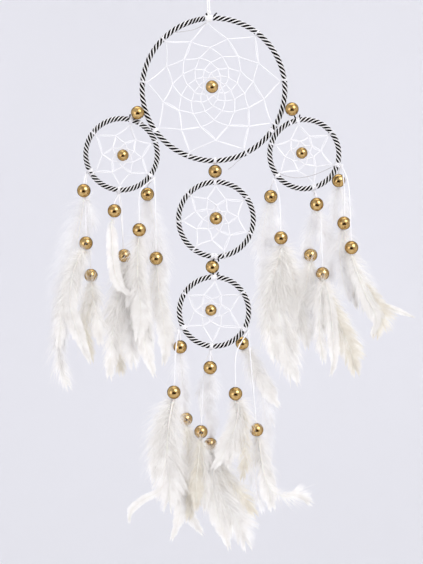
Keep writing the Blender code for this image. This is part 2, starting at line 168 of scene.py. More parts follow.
def spunThread(name, low, high):
    # mercerised cotton thread, spun from two plies: bright white with a faint lustre, and painted shade: its
    # colour is darker in the grooves between plies
    material, tree = newMaterial(name)
    plies = addPlies(tree, slantedMap(tree, threadLook["lean"]), threadLook["ply"], {"Distortion": 0.4})
    # painted shade: the colour darkens in the ply grooves, where the bump sinks
    colour = addRamp(tree, plies, ((0.1, low), (0.6, high)))
    bump = addNode(tree, "Bump", {"Strength": 0.6, "Distance": threadLook["depth"] * mm}, {"Height": plies})
    settings = {"Roughness": threadLook["roughness"], "Sheen Weight": 0.3, "Sheen Roughness": 0.4}
    closePrincipled(tree, settings, {"Base Color": colour, "Normal": bump.outputs["Normal"]})
    return material


beadLook = {
    "light": "#D8BA80",
    "deep": "#AE8850",
    # dark brown Specular Tint: a painted dark reflection along the bead's rim
    "paintedDarkRim": "#5E4426",
    "roughness": 0.13,
    "cloud": 4,  # mm
    "grain": 0.7,
}


def metallisedPlastic(name):
    # vacuum-metallised plastic: a bright gold mirror, a little uneven from the moulding under it, with a painted
    # dark reflection at its rim from a dark brown Specular Tint
    material, tree = newMaterial(name)
    grain = addGrain(tree, beadLook["grain"], {"Detail": 4.0})
    cloud = addGrain(tree, beadLook["cloud"], {"Detail": 3.0})
    colour = addRamp(tree, cloud, ((0.3, beadLook["deep"]), (0.7, beadLook["light"])))
    low, high = beadLook["roughness"], beadLook["roughness"] + 0.1
    span = {"From Min": 0.35, "From Max": 0.75, "To Min": low, "To Max": high}
    rough = addNode(tree, "MapRange", span, {"Value": grain})
    bump = addNode(tree, "Bump", {"Strength": 0.25, "Distance": 0.05 * mm}, {"Height": grain})
    closePrincipled(
        tree,
        {"Metallic": 1.0, "Specular Tint": linear(beadLook["paintedDarkRim"])},
        {"Base Color": colour, "Roughness": rough.outputs["Result"], "Normal": bump.outputs["Normal"]},
    )
    return material


def downyFeather(name, low, high, through):
    # bleached goose feather, washed and dried: matt white barbs that let light through at their ends
    material, tree = newMaterial(name)
    colour = addRamp(tree, addGrain(tree, 9, {"Detail": 4.0, "Roughness": 0.6}), ((0.32, low), (0.68, high)))
    settings = {"Roughness": 0.7, "Specular IOR Level": 0.25, "Sheen Weight": 0.25, "Sheen Roughness": 0.5}
    solid = addNode(tree, "BsdfPrincipled", settings, {"Base Color": colour})
    clear = addNode(tree, "BsdfTranslucent", links={"Color": colour})
    mixed = addNode(tree, "MixShader", {0: through}, {1: solid.outputs["BSDF"], 2: clear.outputs["BSDF"]})
    close(tree, mixed.outputs["Shader"])
    return material


def hornQuill(name):
    # keratin shaft, scraped clean: ivory, smooth and faintly waxy, with long fine streaks
    material, tree = newMaterial(name)
    where = addNode(tree, "UVMap", {"uv_map": "cordMap"}).outputs["UV"]
    longer = addNode(tree, "Mapping", {"Scale": (0.12, 2.2, 1)}, {"Vector": where})
    streak = addNode(tree, "TexNoise", {"Scale": 2.0, "Detail": 3.0}, {"Vector": longer.outputs["Vector"]})
    colour = addRamp(tree, streak.outputs["Fac"], ((0.3, "#ECE8DE"), (0.7, "#FBF9F4")))
    settings = {"Roughness": 0.38, "Subsurface Weight": 0.1, "Subsurface Scale": 0.001}
    closePrincipled(tree, settings, {"Base Color": colour})
    return material


def drawnSteel(name):
    # drawn steel wire: grey metal with a fine grain, seen only where the wrap opens
    material, tree = newMaterial(name)
    colour = addRamp(tree, addGrain(tree, 0.5, {"Detail": 3.0}), ((0.3, "#6E6C69"), (0.7, "#9A9895")))
    closePrincipled(tree, {"Metallic": 1.0, "Roughness": 0.38}, {"Base Color": colour})
    return material


def studioPaper(name, low, high):
    # matt studio paper: even and pale, with the faintest drift of tone
    material, tree = newMaterial(name)
    where = addNode(tree, "TexCoord").outputs["Object"]
    drift = addNode(tree, "TexNoise", {"Scale": 0.35, "Detail": 1.0}, {"Vector": where})
    colour = addRamp(tree, drift.outputs["Fac"], ((0.3, low), (0.7, high)))
    closePrincipled(tree, {"Roughness": 0.95, "Specular IOR Level": 0.1}, {"Base Color": colour})
    return material


blackCotton = twistedCord("waxed_cotton_cord_black", "#040203", "#160A0D", 0.0, 0.06)
whiteCotton = twistedCord("waxed_cotton_cord_white", "#EBE8E5", "#FFFFFE", 0.3, 0.4)
webCotton = spunThread("mercerised_cotton_thread_white", "#DCDAE0", "#FFFFFF")
# white thread coloured grey: painted shade for the slack threads and tail that hang in shadow
paintedShadeCotton = spunThread("mercerised_cotton_thread_painted_shade", "#A9A6A8", "#D2CFD0")
goldPlastic = metallisedPlastic("metallised_plastic_gold")
whiteFeather = downyFeather("washed_goose_feather_white", "#F6F4F1", "#FFFEFC", 0.48)
creamFeather = downyFeather("washed_goose_feather_cream", "#EEE9DE", "#FAF7EF", 0.48)
paleFeather = downyFeather("washed_goose_feather_sheer", "#F7F6F6", "#FFFFFF", 0.6)
quillHorn = hornQuill("scraped_keratin_quill")
ringSteel = drawnSteel("drawn_steel_wire")
print("materials made")


# ---- building blocks
def addPiece(name, mesh, material, body, smooth=True):
    if smooth:
        mesh.polygons.foreach_set("use_smooth", [True] * len(mesh.polygons))
    mesh.materials.append(material)
    piece = bpy.data.objects.new(name, mesh)
    bpy.context.scene.collection.objects.link(piece)
    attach(piece, body)
    return piece


def smoothLine(points, samples):
    # evenly spaced points of a Catmull-Rom curve
    ends = [points[0] * 2 - points[1], *points, points[-1] * 2 - points[-2]]
    fine = []
    for i in range(1, len(ends) - 2):
        p0, p1, p2, p3 = ends[i - 1 : i + 3]
        for k in range(16):
            t = k / 16
            pull = 2 * p0 - 5 * p1 + 4 * p2 - p3
            turn = 3 * p1 - p0 - 3 * p2 + p3
            fine.append(0.5 * (2 * p1 + (p2 - p0) * t + pull * t * t + turn * t**3))
    fine.append(points[-1])
    flat = np.array([tuple(p) for p in fine])
    gone = np.concatenate([[0], np.cumsum(np.linalg.norm(np.diff(flat, axis=0), axis=1))])
    want = np.linspace(0, gone[-1], samples)
    return [Vector(p) for p in np.stack([np.interp(want, gone, flat[:, a]) for a in range(3)], axis=1)]


def tubeData(points, radii, sides, closed=False):
    # rings of vertices along a line, with faces and a map in mm: along the line, and around it
    count = len(points)
    rows, maps, faces = [], [], []
    previous = None
    gone = 0.0
    for i, p in enumerate(points):
        ahead = points[(i + 1) % count] if closed or i < count - 1 else p
        behind = points[i - 1] if closed or i else p
        along = (ahead - behind).normalized()
        if previous is None:
            guide = Vector((0, 1, 0)) if abs(along.y) < 0.9 else Vector((1, 0, 0))
        else:
            guide = previous
        across = (guide - along * guide.dot(along)).normalized()
        previous = across
        up = along.cross(across)
        for k in range(sides):
            a = 2 * math.pi * k / sides
            rows.append(p + (across * math.cos(a) + up * math.sin(a)) * radii[i])
            maps.append((gone, radii[i] / mm * a))
        if i < count - 1:
            gone += (points[i + 1] - p).length / mm
    last = count if closed else count - 1
    for i in range(last):
        j = (i + 1) % count
        for k in range(sides):
            m = (k + 1) % sides
            faces.append((i * sides + k, i * sides + m, j * sides + m, j * sides + k))
    if not closed:
        faces.append(tuple(reversed(range(sides))))
        faces.append(tuple(range((count - 1) * sides, count * sides)))
    return rows, maps, faces


def tubesMesh(name, runs, sides=8):
    # one mesh of several tubes; a run is (points, radius or radii) or (points, radius, closed)
    rows, maps, faces = [], [], []
    for run in runs:
        points, radius = run[0], run[1]
        radii = radius if isinstance(radius, (list, tuple)) else [radius] * len(points)
        newRows, newMaps, newFaces = tubeData(points, radii, sides, len(run) > 2 and run[2])
        start = len(rows)
        rows += newRows
        maps += newMaps
        faces += [tuple(start + v for v in f) for f in newFaces]
    return mappedMesh(name, rows, faces, maps)


def addTubes(name, runs, sides, material, body):
    return addPiece(name, tubesMesh(name, runs, sides), material, body)


def grannyKnot(centre, size, depth, samples):
    # points of a closed knot, size and depth in mm
    points = []
    for i in range(samples):
        a = 2 * math.pi * i / samples
        x, z = math.sin(a) + 2 * math.sin(2 * a), math.cos(a) - 2 * math.cos(2 * a)
        points.append(centre + Vector((x, -depth * math.sin(3 * a), z)) * size * mm)
    return points


def mappedMesh(name, rows, faces, maps):
    mesh = bpy.data.meshes.new(name)
    mesh.from_pydata(rows, [], faces)
    layer = mesh.uv_layers.new(name="cordMap")
    corners = np.empty(len(mesh.loops), dtype=np.int32)
    mesh.loops.foreach_get("vertex_index", corners)
    layer.data.foreach_set("uv", np.array(maps, dtype=np.float32)[corners].ravel())
    return mesh


# ---- hoops: a steel ring served with black and white cords laid side by side
hoopSpecs = {
    "main": {
        "centre": (0.0, 0.0),
        "lead": 15.7,  # mm along the rim for one turn of the cords
        "radius": 76.2,
        "seam": 92.0,
        "anchors": (-145, -111, -63, -30, 7, 52, 96, 135, 174),
        "rounds": (53.5, 42.0, 33.5, 26.0, 19.5, 14.0, 9.4),
        "beadOffset": (-1.6, 2.8),
    },
    "left": {
        "centre": (-94.8, -66.8),
        "lead": 12.3,
        "radius": 39.5,
        "seam": 74.0,
        "anchors": (-146, -93, -37, 20, 74, 143),
        "rounds": (20.8, 12.8, 8.0),
        "beadOffset": (1.4, -1.0),
    },
    "right": {
        "centre": (93.5, -66.7),
        "lead": 13.5,
        "radius": 38.3,
        "seam": 101.0,
        "anchors": (-142, -72, -21, 38, 101, 162),
        "rounds": (19.0, 12.4, 8.0),
        "beadOffset": (-2.6, 1.2),
    },
    "middle": {
        "centre": (2.5, -133.8),
        "lead": 13.3,
        "radius": 41.2,
        "seam": 270.0,
        "anchors": (-177, -126, -76, -23, 34, 90, 137),
        "rounds": (22.6, 13.8, 8.8),
        "beadOffset": (0.0, 1.0),
    },
    "lower": {
        "centre": (0.5, -228.9),
        "lead": 13.5,
        "radius": 38.4,
        "seam": 88.0,
        "anchors": (-151, -93, -32, 33, 88, 148),
        "rounds": (18.4, 11.6, 8.0),
        "beadOffset": (-3.2, 1.5),
    },
}
wrapSpec = {
    "rim": 5.4,  # mm over the wrap
    "pairs": 3,
    "blackHalf": 36.0,  # half the room of a black cord around the rim, degrees
    "whiteHalf": 23.0,
    "inner": 1.15,  # mm, where the cords lie on the steel ring
    "gap": 3.0,  # degrees left open under the knot
    "tightArc": 17.0,  # degrees past the seam where the main hoop's cords are wound tighter
    "tightRate": 1.45,
    "tightBlack": 1.2,  # wider black there, as the cords crowd over each other
}


def rimPoint(hoop, angle, radius, y=0.0):
    # a point on a hoop, by its angle in degrees and its distance from the hoop's centre
    x, z = hoopSpecs[hoop]["centre"]
    a = math.radians(angle)
    return place(x + radius * math.cos(a), z + radius * math.sin(a), y)


def rimLine(hoop):
    # radius of the middle of a hoop's rim, mm
    return hoopSpecs[hoop]["radius"] - wrapSpec["rim"] / 2


def wrapTurn(hoop, angle):
    # how far around the rim the cords have turned at an angle along it, degrees
    spec = hoopSpecs[hoop]
    rate = round(2 * math.pi * rimLine(hoop) / spec["lead"])
    gone = angle - spec["seam"]
    tight = min(gone, wrapSpec["tightArc"]) * (wrapSpec["tightRate"] - 1) if hoop == "main" else 0.0
    return rate * (gone + tight)


def cordSection(half):
    # a cord pressed between its neighbours: (share of its half width, radius), closed
    across = (-1, -0.88, -0.6, -0.2, 0.2, 0.6, 0.88, 1)
    crown = [(t, 1.95 + 0.75 * math.sqrt(max(0.0, 1 - abs(t) ** 2.4))) for t in across]
    foot = [(0.8, wrapSpec["inner"]), (-0.8, wrapSpec["inner"])]
    return [(math.radians(half * t), r) for t, r in crown + foot]


def wrapMesh(name, hoop, dark, dice):
    spec = hoopSpecs[hoop]
    line = rimLine(hoop)
    start = spec["seam"] + wrapSpec["gap"] / 2
    end = spec["seam"] + 360 - wrapSpec["gap"] / 2
    steps = int(math.radians(end - start) * line / 0.9)
    half = wrapSpec["blackHalf" if dark else "whiteHalf"]
    section = cordSection(half)
    sides = len(section)
    rows, maps, faces = [], [], []
    centre = rimPoint(hoop, 0, 0)
    for pair in range(wrapSpec["pairs"]):
        first = pair * 120 + (0 if dark else 60)
        drift = dice.uniform(0, 2 * math.pi, 3)
        base = len(rows)
        for i in range(steps + 1):
            angle = start + (end - start) * i / steps
            a = math.radians(angle)
            wobble = 3.0 * math.sin(a * 7 + drift[0]) + 2.2 * math.sin(a * 19 + drift[1])
            swell = 1 + 0.02 * math.sin(a * 31 + drift[2])
            turn = math.radians(wrapTurn(hoop, angle) + first + wobble)
            tight = hoop == "main" and angle - spec["seam"] < wrapSpec["tightArc"]
            spread = (wrapSpec["tightBlack"] if dark else 2 - wrapSpec["tightBlack"]) if tight else 1.0
            outward = Vector((math.cos(a), 0, math.sin(a)))
            for k, (offset, r) in enumerate(section):
                phi = turn + offset * spread
                radial = line + r * swell * math.cos(phi)
                depth = -r * swell * math.sin(phi)
                rows.append(centre + (outward * radial + Vector((0, depth, 0))) * mm)
                maps.append((a * line * 1.5, k * 0.45))
        for i in range(steps):
            for k in range(sides):
                m = (k + 1) % sides
                one, two = base + i * sides, base + (i + 1) * sides
                faces.append((one + k, one + m, two + m, two + k))
        faces.append(tuple(base + k for k in reversed(range(sides))))
        faces.append(tuple(base + steps * sides + k for k in range(sides)))
    return mappedMesh(name, rows, faces, maps)


def coilAround(hoop, angle, turns, radius, pitch, lean=0.0, samples=14, start=0.0):
    # a tight coil of thread around a rim at an angle along it, radius in mm from the rim's middle
    line = rimLine(hoop)
    points = []
    total = int(turns * samples)
    for i in range(total + 1):
        share = i / total - 0.5
        around = start + 2 * math.pi * turns * i / total
        along = angle + math.degrees(pitch * turns * share / line)
        along += math.degrees(lean * math.sin(around) / line)
        points.append(rimPoint(hoop, along, line + radius * math.cos(around), -radius * math.sin(around)))
    return points


def makeHoops():
    for number, hoop in enumerate(hoopSpecs):
        body = hoop + "_hoop"
        for dark, material in ((True, blackCotton), (False, whiteCotton)):
            dice = np.random.default_rng(100 + number * 2 + dark)
            name = hoop + ("_rim_black_cords" if dark else "_rim_white_cords")
            piece = addPiece(name, wrapMesh(name, hoop, dark, dice), material, body)
            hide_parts(hoop + "_hoop_wrap")
        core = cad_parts[hoop + "_hoop_core"]
        for slotIndex in range(len(core.material_slots)):
            core.material_slots[slotIndex].material = ringSteel
    print("rims wrapped")


# ---- webs: one thread looped on the rim, then worked inwards in rounds of half hitches
webSpec = {
    "thread": 0.46,  # radius, mm
    "knot": 0.66,
    "inset": 1.5,
    "sway": 0.65,
    "doubled": 2,  # rounds worked with two threads
    "apart": 1.0,
}


def webKnots(hoop):
    spec = hoopSpecs[hoop]
    count = len(spec["anchors"])
    levels = [list(spec["anchors"])]
    for _ in spec["rounds"]:
        last = levels[-1]
        levels.append([(a + b) / 2 for a, b in zip(last, last[1:] + [last[0] + 360])])
    step = 360 / count
    phase = sum(a - i * step for i, a in enumerate(levels[-1])) / count
    levels[-1] = [phase + i * step for i in range(count)]
    rim = spec["radius"] - wrapSpec["rim"] - webSpec["inset"]
    radii = (rim, *spec["rounds"])
    knots = []
    for radius, angles in zip(radii, levels):
        pull = 1 - (radius - radii[-1]) / (rim - radii[-1])
        shift = Vector((spec["beadOffset"][0], 0, spec["beadOffset"][1])) * pull * mm
        knots.append([rimPoint(hoop, a, radius) + shift for a in angles])
    return knots


def hubEnds(hub):
    # the ends of the thread that crosses the last round and carries the bead
    half = len(hub) // 2
    return hub[0], hub[half] if len(hub) % 2 == 0 else (hub[half] + hub[half + 1]) / 2


def ringAround(centre, along, radius, samples=12):
    # a small closed loop of thread around another thread
    side = along.cross(Vector((0, 1, 0))).normalized()
    up = side.cross(along).normalized()
    return [
        centre + (side * math.cos(a) + up * math.sin(a)) * radius * mm
        for a in (2 * math.pi * i / samples for i in range(samples))
    ]


def makeWebs():
    for number, hoop in enumerate(hoopSpecs):
        dice = np.random.default_rng(300 + number)
        knots = webKnots(hoop)
        count = len(knots[0])
        radius = webSpec["thread"] * mm
        runs = []
        for level in range(len(knots) - 1):
            for strand in (0, 1) if level < webSpec["doubled"] else (0,):
                zigzag = []
                for j in range(count):
                    turn = knots[level + 1][j]
                    for a, b in ((knots[level][j], turn), (turn, knots[level][(j + 1) % count])):
                        aside = (strand * webSpec["apart"], strand * 0.3)
                        sway = (dice.uniform(-1, 1, 2) * webSpec["sway"] + aside) * mm
                        for k in range(5):
                            bow = math.sin(math.pi * k / 5) ** 0.6
                            side = (b - a).cross(Vector((0, 1, 0))).normalized()
                            zigzag.append(a.lerp(b, k / 5) + side * bow * sway[0] + Vector((0, bow * sway[1], 0)))
                runs.append((zigzag, radius * (1 - 0.15 * strand), True))
        hub = knots[-1]
        runs.append((hub, radius, True))
        runs.append((list(hubEnds(hub)), radius))
        for level in range(1, len(knots)):
            for j, knot in enumerate(knots[level]):
                along = (knot - knots[level - 1][j]).normalized()
                for back in (-0.35, 0.4):
                    loop = ringAround(knot + along * back * mm, along, webSpec["knot"])
                    runs.append((loop, 0.34 * mm, True))
        web = addTubes(hoop + "_web_thread", runs, 7, webCotton, hoop + "_hoop")
        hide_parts(hoop + "_hoop_web")
        # the thread goes twice over the rim at each anchor and is hitched on the inside
        ties = []
        for j, angle in enumerate(hoopSpecs[hoop]["anchors"]):
            lean = dice.uniform(-0.5, 0.5)
            ties.append((coilAround(hoop, angle, 2.0, 3.05, 0.95, lean, start=math.pi), 0.42 * mm))
            inner = knots[0][j]
            foot = rimPoint(hoop, angle, hoopSpecs[hoop]["radius"] - wrapSpec["rim"] - 0.3)
            middle = foot.lerp(inner, 0.5) + Vector((0, -0.2 * mm, 0))
            ties.append(([foot, middle, inner], [0.7 * mm, 0.85 * mm, 0.5 * mm]))
            ties.append((ringAround(foot.lerp(inner, 0.6), (inner - foot).normalized(), 0.75), 0.4 * mm, True))
        addTubes(hoop + "_rim_thread_hitches", ties, 7, webCotton, hoop + "_hoop")
    print("webs woven")


# ---- beads: turned and bored spheres
beadSpec = {
    "radius": 6.9,  # mm
    "largeCentre": 6.5,  # on the webs of the main and middle hoops
    "smallCentre": 5.9,
    "hidden": 6.0,  # the one bead that is only seen
    "bore": 1.4,
    "lip": 0.35,
    "around": 40,
    "arc": 22,
}
linkTilts = {"left": 35.2, "right": -35.5}  # degrees


def beadMesh(name, centre, radius, axis):
    # a ball with a drilled hole, its lip rounded over, turned about its axis
    bore = beadSpec["bore"]
    start = math.asin((bore + beadSpec["lip"]) / radius)
    outline = [
        (radius * math.sin(a), radius * math.cos(a))
        for a in (start + (math.pi - 2 * start) * i / (beadSpec["arc"] - 1) for i in range(beadSpec["arc"]))
    ]
    top = outline[0][1]
    inside = [(bore + 0.12, -top + 0.04), (bore, -top + 0.3), (bore, top - 0.3), (bore + 0.12, top - 0.04)]
    turned = outline + inside
    tilt = Vector((0, 0, 1)).rotation_difference(axis).to_matrix()
    rows, maps, faces = [], [], []
    for k in range(beadSpec["around"]):
        a = 2 * math.pi * k / beadSpec["around"]
        for i, (r, h) in enumerate(turned):
            rows.append(centre + tilt @ (Vector((r * math.cos(a), r * math.sin(a), h)) * mm))
            maps.append((i * 0.9, k * 0.9))
    sides = len(turned)
    for k in range(beadSpec["around"]):
        one, two = k * sides, (k + 1) % beadSpec["around"] * sides
        for i in range(sides):
            j = (i + 1) % sides
            faces.append((one + i, one + j, two + j, two + i))
    return mappedMesh(name, rows, faces, maps)


def boxCentre(node):
    low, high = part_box(node)
    return (low + high) / 2


def tilted(degrees):
    lean = math.radians(degrees)
    return Vector((-math.sin(lean), 0, math.cos(lean)))


def addBead(name, node, body, axis, radius=None):
    size = radius or beadSpec["radius"]
    piece = addPiece(name, beadMesh(name, boxCentre(node), size, axis), goldPlastic, body)
    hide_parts(node)
    return piece


def makeHoopBeads():
    for hoop in hoopSpecs:
        near, far = hubEnds(webKnots(hoop)[-1])
        size = beadSpec["largeCentre" if hoop in ("main", "middle") else "smallCentre"]
        addBead(hoop + "_centre_gold_bead", hoop + "_centre_bead", hoop + "_centre_bead", near - far, size)
    for node, body, tilt in (
        ("main_middle_link_bead", "upper_link", 0.0),
        ("middle_lower_link_bead", "lower_link", 0.0),
        ("main_left_link_bead", "left_link", linkTilts["left"]),
        ("main_right_link_bead", "right_link", linkTilts["right"]),
    ):
        addBead(node.replace("_link", "_gold_link"), node, body, tilted(tilt))
    print("hoop beads set")


# ---- tassels: hoop, angle of the knot, and each string's layer, bead and points, mm from the main hoop
tasselSpecs = {
    "left_tassel_1": ("left", 208, (
        (frontLayer, (-132.3, -105.2), ()),
        (middleLayer, (-131.1, -158.4), ((-131.3, -108.0),)),
        (backLayer, (-127.0, -191.6), ((-130.8, -112.0),)),
    )),
    "left_tassel_2": ("left", 266, (
        (frontLayer, (-101.1, -125.8), ()),
        (middleLayer, (-91.8, -171.3), ((-95.5, -126.0),)),
        (backLayer, (-92.5, -197.5), ((-95.0, -124.0),)),
    )),
    "left_tassel_3": ("left", 324, (
        (backLayer, (-68.5, -107.4), ()),
        (frontLayer, (-75.8, -145.2), ((-75.0, -107.0),)),
        (middleLayer, (-59.0, -174.0), ((-60.0, -112.0),)),
    )),
    "right_tassel_1": ("right", 219, (
        (backLayer, (59.4, -109.8), ()),
        (middleLayer, (69.3, -153.0), ((67.5, -112.0),)),
    )),
    "right_tassel_2": ("right", 285, (
        (frontLayer, (105.2, -119.2), ()),
        (backLayer, (100.7, -170.6), ((102.0, -124.0),)),
        (middleLayer, (112.1, -189.9), ((109.5, -126.0),)),
    )),
    "right_tassel_3": ("right", 343, (
        (backLayer, (129.6, -93.4), ()),
        (middleLayer, (134.1, -137.9), ((134.0, -98.0),)),
        (frontLayer, (140.6, -163.3), ((137.5, -100.0),)),
    )),
    "lower_tassel_1": ("lower", 206, (
        (middleLayer, (-34.2, -265.1), ()),
        (frontLayer, (-40.5, -310.8), ((-38.5, -268.0),)),
        (backLayer, (-28.6, -340.4), ((-33.5, -274.0),)),
    )),
    "lower_tassel_2": ("lower", 265, (
        (frontLayer, (-3.5, -285.7), ()),
        (middleLayer, (-12.9, -352.4), ((-9.5, -288.0),)),
        (backLayer, (-3.1, -366.5), ((-0.5, -290.0),)),
    )),
    "lower_tassel_3": ("lower", 331, (
        (backLayer, (29.8, -261.8), ()),
        (frontLayer, (22.4, -312.3), ((23.0, -272.0),)),
        (middleLayer, (44.3, -350.3), ((38.0, -276.0),)),
    )),
}
stringSpec = {"radius": 0.6, "knot": 1.6, "freeFrom": 30.0}  # mm; a shorter string counts as part of its knot


def knotPoint(hoop, angle):
    return rimPoint(hoop, angle, hoopSpecs[hoop]["radius"] + 0.3 + stringSpec["knot"])


def strandLine(tassel, index):
    # knot, the string's points, the bead's centre and the direction of its hole
    hoop, angle, strands = tasselSpecs[tassel]
    layer, bead, via = strands[index]
    centre = place(*bead, layer)
    last = place(*via[-1], layer) if via else centre + Vector((0, 0, 1))
    axis = (last - centre).normalized()
    bends = [place(*v, layer) for v in via]
    points = [knotPoint(hoop, angle), *bends, centre + axis * 7.6 * mm, centre - axis * 8.2 * mm]
    return points, centre, axis


def makeTassels():
    for tassel, (hoop, angle, strands) in tasselSpecs.items():
        dice = np.random.default_rng(700 + angle)
        for index, letter in zip(range(len(strands)), "abc"):
            points, centre, axis = strandLine(tassel, index)
            route = smoothLine(points, 25)
            name = tassel.replace("tassel", "string") + letter
            string = addTubes(name, [(route, stringSpec["radius"] * mm)], 8, webCotton, tassel)
            beadNode = tassel.replace("tassel", "bead") + letter
            beadName = tassel.replace("tassel", "gold_bead") + "_" + letter
            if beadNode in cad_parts:
                addBead(beadName, beadNode, tassel, axis)
            else:
                mesh = beadMesh(beadName, centre, beadSpec["hidden"], axis)
                addPiece(beadName, mesh, goldPlastic, tassel)
        # three turns stay on the rim; the strings swing from the granny knot under them
        turns = [(coilAround(hoop, angle, 3.0, 3.1, 0.95, 0.3), 0.45 * mm)]
        addTubes(tassel.replace("tassel", "tassel_hitch"), turns, 7, webCotton, hoop + "_hoop")
        knot = knotPoint(hoop, angle)
        runs = [(grannyKnot(knot, 0.5, 1.0, 34), 0.5 * mm, True)]
        for tail in (-1, 1):
            lean = dice.uniform(0.6, 1.6)
            bends = ((0, 0, 0), (tail * lean, -0.8, -2.0), (tail * lean * 1.3, -0.9, -5.5))
            runs.append((smoothLine([knot + Vector(b) * mm for b in bends], 8), 0.36 * mm))
        addTubes(tassel.replace("tassel", "tassel_knot"), runs, 7, webCotton, tassel)
    print("strings and beads hung")


